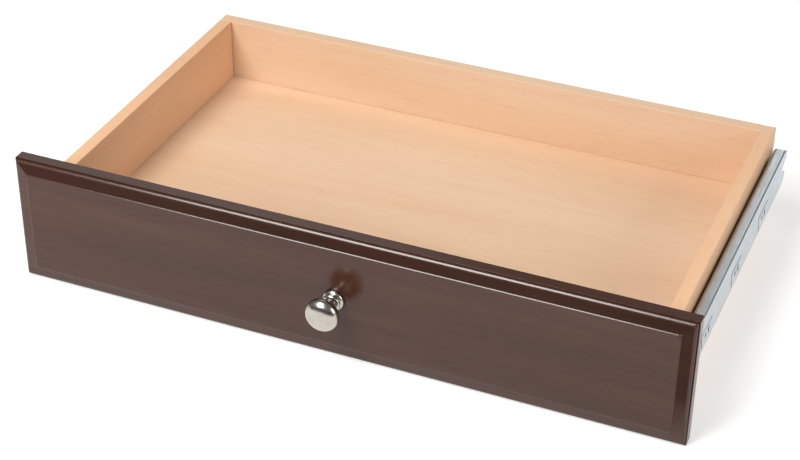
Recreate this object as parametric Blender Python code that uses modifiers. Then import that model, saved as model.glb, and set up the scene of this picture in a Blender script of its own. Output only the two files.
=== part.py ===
"""A closet drawer that hangs on two full-extension ball-bearing slides.

The drawer box is bored and grooved panel, held to a routed front by cam fittings, with a turned knob.
Each slide is three nested steel channels that roll on two caged rows of balls.

Frame, in metres: +X to the right of a person who faces the front, +Y towards the back, +Z up.
The origin is the middle of the overall box in plan, at the height of the front's bottom edge.
Inside the file, drawer positions are measured from the middle of the front's back face, at its bottom edge.
"""

import math

import bmesh
import bpy
from mathutils import Matrix, Vector

# Front
FRONT_WIDTH = 0.6096
FRONT_HEIGHT = 0.1216
FRONT_EDGE_THICKNESS = 0.0104
FIELD_RISE = 0.0056
STEP_WIDTH = 0.0011
STEP_RADIUS = 0.0029
STEP_RISE = 0.0001
SLOPE_END = 0.0123
SLOPE_RISE = 0.0044
FIELD_RADIUS = 0.0011
FRONT_THICKNESS = FRONT_EDGE_THICKNESS + FIELD_RISE

# Box
GAP = 0.0003
CUTTER_REACH = 0.002
BOX_WIDTH = 0.5648
BOX_DEPTH = 0.3434
BOX_BOTTOM = 0.024
BOX_TOP = 0.100
PANEL = 0.012
FLOOR_TOP = 0.03765
FLOOR_THICKNESS = 0.004
GROOVE_DEPTH = 0.0058
PANEL_EDGE = 0.0005
INNER_X = BOX_WIDTH / 2 - PANEL
BACK_Y = BOX_DEPTH - PANEL
PANEL_MID_X = BOX_WIDTH / 2 - PANEL / 2

# Fastenings of the box
FIXING_HEIGHTS = (0.0465, 0.083)
CAM_Y = 0.024
CAM_RADIUS = 0.006
CAM_DEPTH = 0.009
CAM_SLOT_HALF = 0.0037
BOLT_BORE = 0.0039
BOLT_HOLE_RADIUS = 0.0028
BOLT_HOLE_DEPTH = 0.0105
DOWEL_HEIGHT = 0.0648
DOWEL_RADIUS = 0.003
DOWEL_FRONT = -0.0097
DOWEL_BACK = 0.018
BACK_SCREW_LENGTH = 0.030
PILOT_RADIUS = 0.0021
PILOT_DEPTH = 0.009
SINK_RADII = (0.00205, 0.00647)
SINK_HEIGHT = 0.0048
HEAD_SUNK = 0.0002

# Knob
KNOB_HEIGHT = FRONT_HEIGHT / 2
KNOB_RADIUS = 0.0150
KNOB_LENGTH = 0.0318
KNOB_RISE = 0.0082
KNOB_UNDERSIDE = 0.0066
KNOB_NECK = 0.0062
KNOB_HOLE_RADIUS = 0.0025
KNOB_BORE = 0.0023
KNOB_BORE_DEPTH = 0.009
KNOB_THREAD = 0.007

# Slides: "across" is measured from the cabinet wall towards the box, "up" from the middle of the channel
SLIDE_SPACE = 0.0127
SLIDE_START = 0.0018
SLIDE_LENGTH = 0.3429
SLIDE_HEIGHT = 0.063
FLANGE_CUT_BACK = 0.008
WEB_END_HALF = 0.0160
NOTCH_DEPTH = 0.012
MEMBER_LENGTH = 0.327
SHEET = 0.0012
CAGE_SHEET = 0.0006
CABINET_HALF = 0.019
INTERMEDIATE_HALF = 0.0138
DRAWER_HALF = 0.0086
INTERMEDIATE_WEB = 0.0026
DRAWER_WEB = 0.0124
DRAWER_FLANGE_TIP = 0.0056
BALL_RADIUS = 0.0018
OUTER_BALLS = (0.0066, 0.0158)
INNER_BALLS = (0.0076, 0.0106)
RACE_RADIUS = 0.0032
CABINET_CURL = 0.0077
CAGE_START = 0.088
CAGE_LENGTH = 0.150
BALLS_PER_ROW = 6
SCREW_PLACES = (0.035, 0.120, 0.291)
STATION_START = 0.0464
STATION_PITCH = 0.096
STATIONS = 3
STATION_HOLE_UP = 0.0062
WEB_CUT = (-0.005, 0.0014)
WEB_HOLE_RADIUS = 0.0022
INTERMEDIATE_SLOTS = (0.045, 0.165, 0.285)
INTERMEDIATE_CUT = (0.001, 0.0040)
DRAWER_SLOTS = (0.055, 0.255)
DRAWER_CUT = (0.0105, 0.015)
OUTER_CAGE = {"web": 0.0016, "half": 0.0161, "tip": 0.0083, "row": OUTER_BALLS}
INNER_CAGE = {"web": 0.0042, "half": 0.0109, "tip": 0.0093, "row": INNER_BALLS}
LEVER_ACROSS = 0.0085
LEVER_THICKNESS = 0.0044
LEVER_PIVOT = 0.185
RIVET_RADIUS = 0.0018
RIVET_LENGTH = 0.0063
BUMPER_START = 0.328
BUMPER_LOW = (0.0016, 0.0, -0.0110)
BUMPER_HIGH = (0.0080, 0.0060, 0.0110)
BUMPER_STUD = 0.0017

# Curve fill drops corners that lie very close, so outlines are filled this many times larger
FILL_SCALE = 1000

SLIDE_BACK = SLIDE_START + SLIDE_LENGTH
KNOB_REACH = FRONT_THICKNESS + GAP + KNOB_LENGTH
DATUM_Y = (KNOB_REACH - SLIDE_BACK) / 2


def clear_scene():
    for item in list(bpy.data.objects):
        bpy.data.objects.remove(item)


def new_collection(name):
    collection = bpy.data.collections.new(name)
    bpy.context.scene.collection.children.link(collection)
    return collection


def new_material(name, color, roughness, metallic=0.0):
    material = bpy.data.materials.new(name)
    material.use_nodes = True
    shader = material.node_tree.nodes["Principled BSDF"]
    shader.inputs["Base Color"].default_value = (*color, 1.0)
    shader.inputs["Roughness"].default_value = roughness
    shader.inputs["Metallic"].default_value = metallic
    material.diffuse_color = (*color, 1.0)
    return material


def link(item, collection, parent=None, location=(0, 0, 0), rotation=(0, 0, 0)):
    collection.objects.link(item)
    item.parent = parent
    item.location = location
    item.rotation_euler = rotation
    return item


def mesh_from(bm, name):
    mesh = bpy.data.meshes.new(name)
    bm.to_mesh(mesh)
    bm.free()
    return mesh


def smooth(mesh, degrees=35):
    mesh.shade_smooth()
    mesh.set_sharp_from_angle(angle=math.radians(degrees))
    return mesh


def add_box(bm, low, high):
    """Adds a block to bm, from its lowest corner to its highest."""
    size = Vector(high) - Vector(low)
    middle = (Vector(high) + Vector(low)) / 2
    made = bmesh.ops.create_cube(bm, size=1.0)
    bmesh.ops.scale(bm, vec=size, verts=made["verts"])
    bmesh.ops.translate(bm, vec=middle, verts=made["verts"])


def add_cone(bm, segments, radii, depth, place):
    bmesh.ops.create_cone(
        bm, cap_ends=True, segments=segments, radius1=radii[0], radius2=radii[1], depth=depth, matrix=place
    )


def add_rod(bm, start, end, radius, segments=16):
    """Adds a round bar to bm, from start to end."""
    start, end = Vector(start), Vector(end)
    along = end - start
    turn = along.to_track_quat("Z", "Y").to_matrix().to_4x4()
    place = Matrix.Translation((start + end) / 2) @ turn
    add_cone(bm, segments, (radius, radius), along.length, place)


def block_mesh(name, low, high):
    bm = bmesh.new()
    add_box(bm, low, high)
    return mesh_from(bm, name)


def arc(middle, radius, start, end, steps):
    """Points on an arc, from the start angle to the end angle in degrees."""
    points = []
    for step in range(steps + 1):
        angle = math.radians(start + (end - start) * step / steps)
        points.append((middle[0] + radius * math.cos(angle), middle[1] + radius * math.sin(angle)))
    return points


def turned_mesh(name, profile, segments=24):
    """A round solid about Z. The profile is (radius, height) pairs, from the top down its outer side."""
    bm = bmesh.new()
    corners = [bm.verts.new((radius, 0, height)) for radius, height in profile]
    for first, second in zip(corners, corners[1:]):
        bm.edges.new((first, second))
    item = bpy.data.objects.new(name, mesh_from(bm, name))
    screw = item.modifiers.new("Turn", "SCREW")
    screw.steps = segments
    screw.render_steps = segments
    screw.use_merge_vertices = True
    screw.merge_threshold = 0.00002
    return baked(item, name)


def baked(item, name):
    """Applies an object's modifiers, removes the object and returns the finished mesh."""
    bpy.context.scene.collection.objects.link(item)
    graph = bpy.context.evaluated_depsgraph_get()
    mesh = bpy.data.meshes.new_from_object(item.evaluated_get(graph))
    mesh.name = name
    bpy.data.objects.remove(item)
    return mesh


def cut_mesh(mesh, cutters, operation="DIFFERENCE"):
    """The mesh after one Boolean with each of the cutter meshes in turn."""
    item = bpy.data.objects.new(mesh.name, mesh)
    helpers = []
    for number, cutter in enumerate(cutters):
        helper = bpy.data.objects.new(f"{mesh.name}_cutter_{number}", cutter)
        bpy.context.scene.collection.objects.link(helper)
        helpers.append(helper)
        change = item.modifiers.new(f"Cut {number}", "BOOLEAN")
        change.operation = operation
        change.object = helper
    result = baked(item, mesh.name)
    for helper in helpers:
        bpy.data.objects.remove(helper)
    return result


def outline_mesh(name, points, thickness):
    """A flat plate in the YZ plane, its (y, z) outline extruded both ways along X."""
    curve = bpy.data.curves.new(name, "CURVE")
    curve.dimensions = "2D"
    curve.fill_mode = "BOTH"
    curve.extrude = thickness / 2 * FILL_SCALE
    spline = curve.splines.new("POLY")
    spline.points.add(len(points) - 1)
    for point, place in zip(spline.points, points):
        point.co = (place[0] * FILL_SCALE, place[1] * FILL_SCALE, 0, 1)
    spline.use_cyclic_u = True
    mesh = baked(bpy.data.objects.new(name, curve), name)
    upright = Matrix(((0, 0, 1, 0), (1, 0, 0, 0), (0, 1, 0, 0), (0, 0, 0, 1)))
    mesh.transform(Matrix.Scale(1 / FILL_SCALE, 4) @ upright)
    bm = bmesh.new()
    bm.from_mesh(mesh)
    bmesh.ops.remove_doubles(bm, verts=bm.verts, dist=0.000001)
    bmesh.ops.recalc_face_normals(bm, faces=bm.faces)
    bm.to_mesh(mesh)
    bm.free()
    return mesh


def sheet_channel(name, outline, thickness, length):
    """A folded sheet. The outline is (across, up) pairs on its outer skin, from the bottom to the top."""
    bm = bmesh.new()
    front = [bm.verts.new((across, 0, up)) for across, up in outline]
    back = [bm.verts.new((across, length, up)) for across, up in outline]
    for index in range(len(outline) - 1):
        bm.faces.new((front[index], front[index + 1], back[index + 1], back[index]))
    item = bpy.data.objects.new(name, mesh_from(bm, name))
    wall = item.modifiers.new("Sheet", "SOLIDIFY")
    wall.thickness = thickness
    wall.offset = -1.0
    wall.use_even_offset = True
    return smooth(baked(item, name))


# Front and box panels


def edge_profile():
    """(inward, outward) points of the routed edge, from the outer corner to the flat field."""
    points = [(0.0, 0.0), (STEP_WIDTH, 0.0)]
    step_middle = (STEP_WIDTH + 0.00005 + STEP_RADIUS, STEP_RISE)
    points += arc(step_middle, STEP_RADIUS, 180, 100, 4)
    field_middle = (SLOPE_END + 0.00005 + FIELD_RADIUS, FIELD_RISE - FIELD_RADIUS)
    points.append((SLOPE_END, SLOPE_RISE))
    points += arc(field_middle, FIELD_RADIUS, 180, 90, 3)
    return points


def front_mesh():
    """The routed front: a plate that rises inwards along the edge profile, with mitred corners."""
    bm = bmesh.new()
    add_box(bm, (-FRONT_WIDTH / 2, -FRONT_EDGE_THICKNESS, 0), (FRONT_WIDTH / 2, 0, FRONT_HEIGHT))
    bm.normal_update()
    face = min(bm.faces, key=lambda one: one.normal.y)
    profile = edge_profile()
    for here, there in zip(profile, profile[1:]):
        inward = there[0] - here[0]
        outward = there[1] - here[1]
        bmesh.ops.inset_region(bm, faces=[face], thickness=inward, depth=outward, use_even_offset=True)
    return smooth(mesh_from(bm, "drawer_front"), 25)


def groove_box(bm, low_x, high_x, low_y, high_y):
    bottom = FLOOR_TOP - FLOOR_THICKNESS - GAP
    add_box(bm, (low_x, low_y, bottom), (high_x, high_y, FLOOR_TOP + GAP))


def front_cutters():
    bm = bmesh.new()
    reach = INNER_X + GROOVE_DEPTH
    groove_box(bm, -reach, reach, -GROOVE_DEPTH, CUTTER_REACH)
    through = -FRONT_THICKNESS - CUTTER_REACH
    add_rod(bm, (0, CUTTER_REACH, KNOB_HEIGHT), (0, through, KNOB_HEIGHT), KNOB_HOLE_RADIUS)
    for side in (-1, 1):
        x = side * PANEL_MID_X
        for height in FIXING_HEIGHTS:
            add_rod(bm, (x, CUTTER_REACH, height), (x, -BOLT_HOLE_DEPTH, height), BOLT_HOLE_RADIUS, 12)
        low = (x, DOWEL_FRONT - GAP, DOWEL_HEIGHT)
        add_rod(bm, low, (x, CUTTER_REACH, DOWEL_HEIGHT), DOWEL_RADIUS + GAP, 12)
    return mesh_from(bm, "front_holes")


def side_cutters(side):
    """Groove for the floor, cam and bolt bores, dowel hole, and pilot holes for the slide and back screws."""
    bm = bmesh.new()
    inner = side * INNER_X
    groove = sorted((inner - side * CUTTER_REACH, inner + side * GROOVE_DEPTH))
    groove_box(bm, groove[0], groove[1], -CUTTER_REACH, BOX_DEPTH)
    outside = side * (BOX_WIDTH / 2 + CUTTER_REACH)
    bore_end = side * (BOX_WIDTH / 2 - HEAD_SUNK - CAM_DEPTH - GAP)
    pilot_end = side * (BOX_WIDTH / 2 - PILOT_DEPTH)
    screw_end = BOX_DEPTH - BACK_SCREW_LENGTH - HEAD_SUNK - GAP
    x = side * PANEL_MID_X
    for height in FIXING_HEIGHTS:
        add_rod(bm, (outside, CAM_Y, height), (bore_end, CAM_Y, height), CAM_RADIUS + GAP, 20)
        add_rod(bm, (x, BACK_Y + CUTTER_REACH, height), (x, screw_end, height), PILOT_RADIUS, 12)
    for place in SCREW_PLACES:
        y = SLIDE_START + place
        add_rod(bm, (outside, y, SLIDE_HEIGHT), (pilot_end, y, SLIDE_HEIGHT), PILOT_RADIUS, 12)
    dowel_end = (x, DOWEL_BACK + GAP, DOWEL_HEIGHT)
    add_rod(bm, (x, -CUTTER_REACH, DOWEL_HEIGHT), dowel_end, DOWEL_RADIUS + GAP, 12)
    return mesh_from(bm, "side_holes")


def bolt_bores(side):
    bm = bmesh.new()
    x = side * PANEL_MID_X
    for height in FIXING_HEIGHTS:
        add_rod(bm, (x, -CUTTER_REACH, height), (x, CAM_Y, height), BOLT_BORE, 12)
    return mesh_from(bm, "bolt_bores")


def back_cutters():
    bm = bmesh.new()
    reach = INNER_X + GROOVE_DEPTH
    groove_box(bm, -reach, reach, BACK_Y - CUTTER_REACH, BACK_Y + GROOVE_DEPTH)
    for side in (-1, 1):
        x = side * PANEL_MID_X
        for height in FIXING_HEIGHTS:
            inside = (x, BACK_Y - CUTTER_REACH, height)
            add_rod(bm, inside, (x, BOX_DEPTH + CUTTER_REACH, height), PILOT_RADIUS, 12)
    return mesh_from(bm, "back_holes")


def countersinks():
    bm = bmesh.new()
    for side in (-1, 1):
        for height in FIXING_HEIGHTS:
            middle = (side * PANEL_MID_X, BOX_DEPTH, height)
            turn = Matrix.Rotation(math.radians(-90), 4, "X")
            add_cone(bm, 16, SINK_RADII, SINK_HEIGHT, Matrix.Translation(middle) @ turn)
    return mesh_from(bm, "countersinks")


def add_panel(name, mesh, material, parent, cutters=(), edge=PANEL_EDGE):
    """Adds a panel with eased edges, then bores it with each cutter."""
    mesh.materials.append(material)
    panel = link(bpy.data.objects.new(name, mesh), PARTS, parent)
    if edge:
        ease = panel.modifiers.new("Eased edges", "BEVEL")
        ease.width = edge
        ease.segments = 2
    for cutter_mesh in cutters:
        cutter = bpy.data.objects.new(f"{name}_{cutter_mesh.name}", cutter_mesh)
        link(cutter, CUTTERS, parent)
        cutter.hide_render = True
        cutter.display_type = "WIRE"
        bore = panel.modifiers.new(cutter_mesh.name, "BOOLEAN")
        bore.operation = "DIFFERENCE"
        bore.object = cutter
    return panel


def build_box(datum):
    dark = new_material("dark_foil", (0.055, 0.028, 0.022), 0.35)
    maple = new_material("maple_panel", (0.72, 0.44, 0.25), 0.5)
    add_panel("drawer_front", front_mesh(), dark, datum, [front_cutters()], edge=0)
    for name, side in (("left_side_panel", -1), ("right_side_panel", 1)):
        across = sorted((side * INNER_X, side * BOX_WIDTH / 2))
        mesh = block_mesh(name, (across[0], GAP, BOX_BOTTOM), (across[1], BACK_Y - GAP, BOX_TOP))
        add_panel(name, mesh, maple, datum, [side_cutters(side), bolt_bores(side)])
    half = BOX_WIDTH / 2
    back = block_mesh("back_panel", (-half, BACK_Y, BOX_BOTTOM), (half, BOX_DEPTH, BOX_TOP))
    add_panel("back_panel", back, maple, datum, [back_cutters(), countersinks()])
    reach = INNER_X + GROOVE_DEPTH - GAP
    low = (-reach, -GROOVE_DEPTH + GAP, FLOOR_TOP - FLOOR_THICKNESS)
    floor = block_mesh("bottom_panel", low, (reach, BACK_Y + GROOVE_DEPTH - GAP, FLOOR_TOP))
    add_panel("bottom_panel", floor, maple, datum, edge=0)


# Fastenings and knob


def cross_recess(top, size, depth):
    """A cutter for a cross recess in a head whose face is at height top."""
    bm = bmesh.new()
    narrow = size * 0.22
    low = top - depth
    high = top + 0.002
    add_box(bm, (-size, -narrow, low), (size, narrow, high))
    across = bmesh.new()
    add_box(across, (-narrow, -size, low), (narrow, size, high))
    return cut_mesh(mesh_from(bm, "recess"), [mesh_from(across, "recess_across")], "UNION")


def pan_screw_mesh(name, shank, length, head, head_height):
    """A pan-head screw about Z. Its head stands on height zero, its shank goes down."""
    rim = head * 0.45
    profile = [(0, head_height), (head - rim, head_height)]
    profile += arc((head - rim, head_height - rim), rim, 75, 0, 3)
    profile += [(head, 0), (shank, 0), (shank, -length + shank), (shank * 0.3, -length), (0, -length)]
    recess = cross_recess(head_height, head * 0.5, head_height * 0.55)
    return smooth(cut_mesh(turned_mesh(name, profile, 12), [recess]))


def wood_screw_mesh():
    """A countersunk screw about Z, its flat head at height zero."""
    profile = [(0, 0), (0.0034, 0), (0.0034, -0.0003), (0.0017, -0.0022)]
    tip = -BACK_SCREW_LENGTH
    profile += [(0.0017, tip + 0.004), (0.0003, tip), (0, tip)]
    return smooth(cut_mesh(turned_mesh("back_screw", profile, 12), [cross_recess(0, 0.0017, 0.0010)]))


def cam_bolt_mesh():
    """A cam bolt about Z: thread down into the front, collar at height zero, head up in the cam."""
    top = CAM_Y - 0.0005
    profile = [(0, top), (0.0026, top), (0.0031, top - 0.0010), (0.0031, top - 0.0035)]
    profile += [(0.0017, top - 0.0055), (0.0017, 0.0025), (0.0034, 0.0018), (0.0034, 0.0004)]
    profile += [(0.0025, 0.0004), (0.0025, -0.0085), (0.0015, -0.0100), (0, -0.0100)]
    return smooth(turned_mesh("cam_bolt", profile, 10))


def cam_lock_mesh():
    """A cam about Z, its face at height zero, with the slot that catches the bolt towards -Y."""
    edge = 0.0004
    profile = [(0, 0), (CAM_RADIUS - edge, 0), (CAM_RADIUS, -edge), (CAM_RADIUS, -CAM_DEPTH)]
    profile.append((0, -CAM_DEPTH))
    slot = bmesh.new()
    low = (-CAM_SLOT_HALF, -CAM_RADIUS - CUTTER_REACH, -CAM_DEPTH - CUTTER_REACH)
    add_box(slot, low, (CAM_SLOT_HALF, 0.0018, -0.0022))
    lock = turned_mesh("cam_lock", profile, 20)
    return smooth(cut_mesh(lock, [mesh_from(slot, "slot"), cross_recess(0, 0.0030, 0.0012)]))


def knob_mesh():
    """The knob about Z: a domed head on a waisted neck and a flared base, with a blind bore from below."""
    widest = KNOB_LENGTH - KNOB_RISE
    profile = []
    for radius, height in arc((0, 0), 1, 90, 0, 8):
        profile.append((KNOB_RADIUS * radius, widest + KNOB_RISE * height))
    for radius, height in arc((0, 0), 1, 0, 90, 5)[1:]:
        profile.append((KNOB_NECK + (KNOB_RADIUS - KNOB_NECK) * radius, widest - KNOB_UNDERSIDE * height))
    profile += [(0.0060, 0.0124), (0.0059, 0.0100), (0.0062, 0.0084)]
    profile += arc((0.0068, 0.0066), 0.0016, 70, -70, 4)
    profile += [(0.0073, 0.0046), (0.0088, 0.0038), (0.0096, 0.0026), (0.0097, 0.0010), (0.0093, 0.0)]
    profile += [(KNOB_BORE, 0.0), (KNOB_BORE, KNOB_BORE_DEPTH), (0, KNOB_BORE_DEPTH)]
    return smooth(turned_mesh("knob", profile, 28))


def place_copies(mesh, material, parent, places):
    """Adds one object for each (name, location, rotation), all of them sharing the mesh."""
    mesh.materials.append(material)
    for name, location, rotation in places:
        link(bpy.data.objects.new(name, mesh), PARTS, parent, location, rotation)


def build_fastenings(datum):
    zinc = new_material("zinc_fitting", (0.62, 0.63, 0.64), 0.35, 1.0)
    beech = new_material("beech_dowel", (0.70, 0.52, 0.33), 0.7)
    nickel = new_material("satin_nickel", (0.66, 0.62, 0.56), 0.25, 1.0)
    quarter = math.pi / 2
    bolts, locks, screws, dowels = [], [], [], []
    for side_name, side in (("left", -1), ("right", 1)):
        for level, height in zip(("lower", "upper"), FIXING_HEIGHTS):
            x = side * PANEL_MID_X
            bolts.append((f"{side_name}_{level}_cam_bolt", (x, 0, height), (-quarter, 0, 0)))
            face = side * (BOX_WIDTH / 2 - HEAD_SUNK)
            lock_turn = (0, side * quarter, 0)
            locks.append((f"{side_name}_{level}_cam_lock", (face, CAM_Y, height), lock_turn))
            head = (x, BOX_DEPTH - HEAD_SUNK, height)
            screws.append((f"{side_name}_{level}_back_screw", head, (-quarter, 0, 0)))
        middle = (side * PANEL_MID_X, 0, DOWEL_HEIGHT)
        dowels.append((f"{side_name}_front_dowel", middle, (-quarter, 0, 0)))
    place_copies(cam_bolt_mesh(), zinc, datum, bolts)
    place_copies(cam_lock_mesh(), zinc, datum, locks)
    place_copies(wood_screw_mesh(), zinc, datum, screws)
    tip = 0.0006
    profile = [(0, DOWEL_BACK), (DOWEL_RADIUS - tip, DOWEL_BACK), (DOWEL_RADIUS, DOWEL_BACK - tip)]
    profile += [(DOWEL_RADIUS, DOWEL_FRONT + tip), (DOWEL_RADIUS - tip, DOWEL_FRONT), (0, DOWEL_FRONT)]
    place_copies(smooth(turned_mesh("front_dowel", profile, 16)), beech, datum, dowels)
    knob_place = (0, -FRONT_THICKNESS - GAP, KNOB_HEIGHT)
    place_copies(knob_mesh(), nickel, datum, [("knob", knob_place, (quarter, 0, 0))])
    length = FRONT_THICKNESS + GAP + KNOB_THREAD
    screw = pan_screw_mesh("knob_screw", 0.0020, length, 0.0040, 0.0025)
    place_copies(screw, zinc, datum, [("knob_screw", (0, GAP, KNOB_HEIGHT), (-quarter, 0, 0))])


# Slides


def race_outline(web, half, curl):
    """Outer skin of a channel that opens towards the box, its flanges curled round a row of balls."""
    bend = 0.0013
    top = arc((web + bend, half - bend), bend, 180, 90, 3)
    top += arc((curl, half - RACE_RADIUS), RACE_RADIUS, 90, 0, 5)
    bottom = [(across, -up) for across, up in reversed(top)]
    return bottom + top


def cage_outline(web, half, tip):
    bend = 0.0008
    top = arc((web + bend, half - bend), bend, 180, 90, 2) + [(tip, half)]
    bottom = [(across, -up) for across, up in reversed(top)]
    return bottom + top


def drawer_outline():
    """Outer skin of the drawer member, whose web lies on the box and whose flanges point at the cabinet."""
    bend = 0.0014
    top = [(DRAWER_FLANGE_TIP, DRAWER_HALF)] + arc((DRAWER_WEB - bend, DRAWER_HALF - bend), bend, 90, 0, 3)
    bottom = [(across, -up) for across, up in reversed(top)]
    return top + bottom


def holes_through_web(places, low, high, radius=WEB_HOLE_RADIUS):
    """Round cutters across the web, between two distances from the cabinet wall."""
    bm = bmesh.new()
    for y, up in places:
        add_rod(bm, (low, y, up), (high, y, up), radius, 16)
    return mesh_from(bm, "web_holes")


def slot_plate(name, points, low, high):
    """A cutter in the shape of a (y, up) outline, between two distances from the cabinet wall."""
    mesh = outline_mesh(name, points, high - low)
    mesh.transform(Matrix.Translation(((low + high) / 2, 0, 0)))
    return mesh


def trimmed_corner():
    """What comes off each rear corner of the cabinet member's web, past the end of its flanges."""
    end = SLIDE_LENGTH
    flange_end = end - FLANGE_CUT_BACK
    corner = [(flange_end, WEB_END_HALF), (end - 0.003, WEB_END_HALF), (end - 0.0008, WEB_END_HALF - 0.0014)]
    corner += [(end + 0.001, WEB_END_HALF - 0.0040), (end + 0.002, 0.03), (flange_end, 0.03)]
    return corner


def rear_notch():
    """The open notch in the rear end of the cabinet member's web."""
    mouth = SLIDE_LENGTH + CUTTER_REACH
    bottom = SLIDE_LENGTH - NOTCH_DEPTH
    upper = [(mouth, 0.0085), (bottom + 0.001, 0.0030), (bottom, 0.0015)]
    lower = [(y, -up) for y, up in reversed(upper)]
    return lower + upper


def lance_outline(start):
    """The cut round a lanced tab: a long straight slit, then a slanted one from its front end."""
    slit = 0.0015
    return [
        (start + 0.034, -0.0025),
        (start + 0.034, -0.0025 + slit),
        (start + slit, -0.0025 + slit),
        (start + 0.0075, 0.0150),
        (start + 0.0058, 0.0155),
        (start - 0.0005, -0.0025),
    ]


def oval_outline(y, up, half_length, radius):
    """An oval with its long way up the web."""
    top = arc((y, up + half_length), radius, 0, 180, 6)
    bottom = arc((y, up - half_length), radius, 180, 360, 6)
    return top + bottom


def cabinet_member_mesh():
    outline = race_outline(0.0, CABINET_HALF, CABINET_CURL)
    member = sheet_channel("cabinet_member", outline, SHEET, SLIDE_LENGTH)
    flange_end = SLIDE_LENGTH - FLANGE_CUT_BACK
    trims = bmesh.new()
    add_box(trims, (0.0016, flange_end, -0.03), (0.02, SLIDE_LENGTH + 0.01, 0.03))
    lower_corner = [(y, -up) for y, up in reversed(trimmed_corner())]
    cutters = [mesh_from(trims, "flange_trim")]
    cutters.append(slot_plate("upper_corner", trimmed_corner(), -0.005, 0.005))
    cutters.append(slot_plate("lower_corner", lower_corner, -0.005, 0.005))
    cutters.append(slot_plate("notch", rear_notch(), -0.005, 0.005))
    rounds = []
    for station in range(STATIONS):
        start = STATION_START + station * STATION_PITCH
        oval = oval_outline(start + 0.025, STATION_HOLE_UP, 0.0013, WEB_HOLE_RADIUS)
        cutters.append(slot_plate(f"lance_{station}", lance_outline(start), *WEB_CUT))
        cutters.append(slot_plate(f"slot_{station}", oval, *WEB_CUT))
        rounds.append((start + 0.0155, STATION_HOLE_UP))
    rounds.append((0.018, 0.0))
    rounds.append((BUMPER_START + BUMPER_HIGH[1] / 2, 0.0))
    cutters.append(holes_through_web(rounds, *WEB_CUT))
    return smooth(cut_mesh(member, cutters))


def intermediate_member_mesh():
    outline = race_outline(INTERMEDIATE_WEB, INTERMEDIATE_HALF, INNER_BALLS[0])
    member = sheet_channel("intermediate_member", outline, SHEET, MEMBER_LENGTH)
    cutters = []
    for number, y in enumerate(INTERMEDIATE_SLOTS):
        slot = [(y - 0.021, 0), (y - 0.018, -0.004), (y + 0.018, -0.004)]
        slot += [(y + 0.021, 0), (y + 0.018, 0.004), (y - 0.018, 0.004)]
        cutters.append(slot_plate(f"slot_{number}", slot, *INTERMEDIATE_CUT))
    return smooth(cut_mesh(member, cutters))


def drawer_member_mesh():
    member = sheet_channel("drawer_member", drawer_outline(), SHEET, MEMBER_LENGTH)
    rounds = [(place, 0.0) for place in SCREW_PLACES] + [(LEVER_PIVOT, 0.0)]
    cutters = [holes_through_web(rounds, *DRAWER_CUT, PILOT_RADIUS)]
    for number, y in enumerate(DRAWER_SLOTS):
        oval = oval_outline(y, 0.0, 0.0020, WEB_HOLE_RADIUS)
        cutters.append(slot_plate(f"slot_{number}", oval, *DRAWER_CUT))
    return smooth(cut_mesh(member, cutters))


def retainer_mesh(name, web, half, tip, row):
    """A ball cage with its balls. The balls stand on both faces of the cage's flanges."""
    outline = cage_outline(web, half, tip)
    cage = sheet_channel(name, outline, CAGE_SHEET, CAGE_LENGTH)
    balls = bmesh.new()
    pitch = CAGE_LENGTH / BALLS_PER_ROW
    for number in range(BALLS_PER_ROW):
        for up in (-row[1], row[1]):
            middle = (row[0], pitch * (number + 0.5), up)
            turn = Matrix.Translation(middle) @ Matrix.Rotation(math.radians(11), 4, "Y")
            bmesh.ops.create_uvsphere(balls, u_segments=8, v_segments=4, radius=BALL_RADIUS, matrix=turn)
    window = bmesh.new()
    window_half = half * 0.55
    for number in range(BALLS_PER_ROW - 1):
        y = pitch * (number + 1)
        add_box(window, (web - 0.001, y - 0.006, -window_half), (web + 0.0015, y + 0.006, window_half))
    cage = cut_mesh(cage, [mesh_from(window, "cage_windows")])
    return smooth(cut_mesh(cage, [mesh_from(balls, "balls")], "UNION"))


def lever_mesh():
    """The release lever, about its rivet: a finger tab towards the front and a hook towards the back."""
    tab = arc((-0.042, 0.0), 0.0024, 90, 270, 5)
    belly = [(-0.020, -0.0020), (-0.008, -0.0030), (0.004, -0.0033), (0.014, -0.0030)]
    hook = [(0.0195, -0.0025), (0.0200, -0.0010), (0.0170, 0.0010), (0.0168, 0.0036), (0.0130, 0.0036)]
    top = [(0.0110, 0.0024), (0.003, 0.0033), (-0.008, 0.0028), (-0.020, 0.0018)]
    lever = outline_mesh("release_lever", tab + belly + hook + top, LEVER_THICKNESS)
    return cut_mesh(lever, [holes_through_web([(0.0, 0.0)], -0.005, 0.005, RIVET_RADIUS + GAP)])


def rivet_mesh():
    """The lever's rivet about Z, its head above height zero."""
    profile = [(0, 0.0008), (0.0026, 0.0008), (0.0032, 0.0004), (0.0032, 0.0), (RIVET_RADIUS, 0.0)]
    profile += [(RIVET_RADIUS, -RIVET_LENGTH), (0, -RIVET_LENGTH)]
    return smooth(turned_mesh("lever_rivet", profile, 16))


def bumper_mesh():
    """The rear stop: a soft block across the channel, with a stud in the hole through the web."""
    block = block_mesh("rear_bumper", BUMPER_LOW, BUMPER_HIGH)
    item = bpy.data.objects.new("rear_bumper", block)
    ease = item.modifiers.new("Eased edges", "BEVEL")
    ease.width = 0.0008
    ease.segments = 2
    stud = holes_through_web([(BUMPER_HIGH[1] / 2, 0.0)], 0.0004, 0.0040, BUMPER_STUD)
    return cut_mesh(baked(item, "rear_bumper"), [stud], "UNION")


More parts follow.
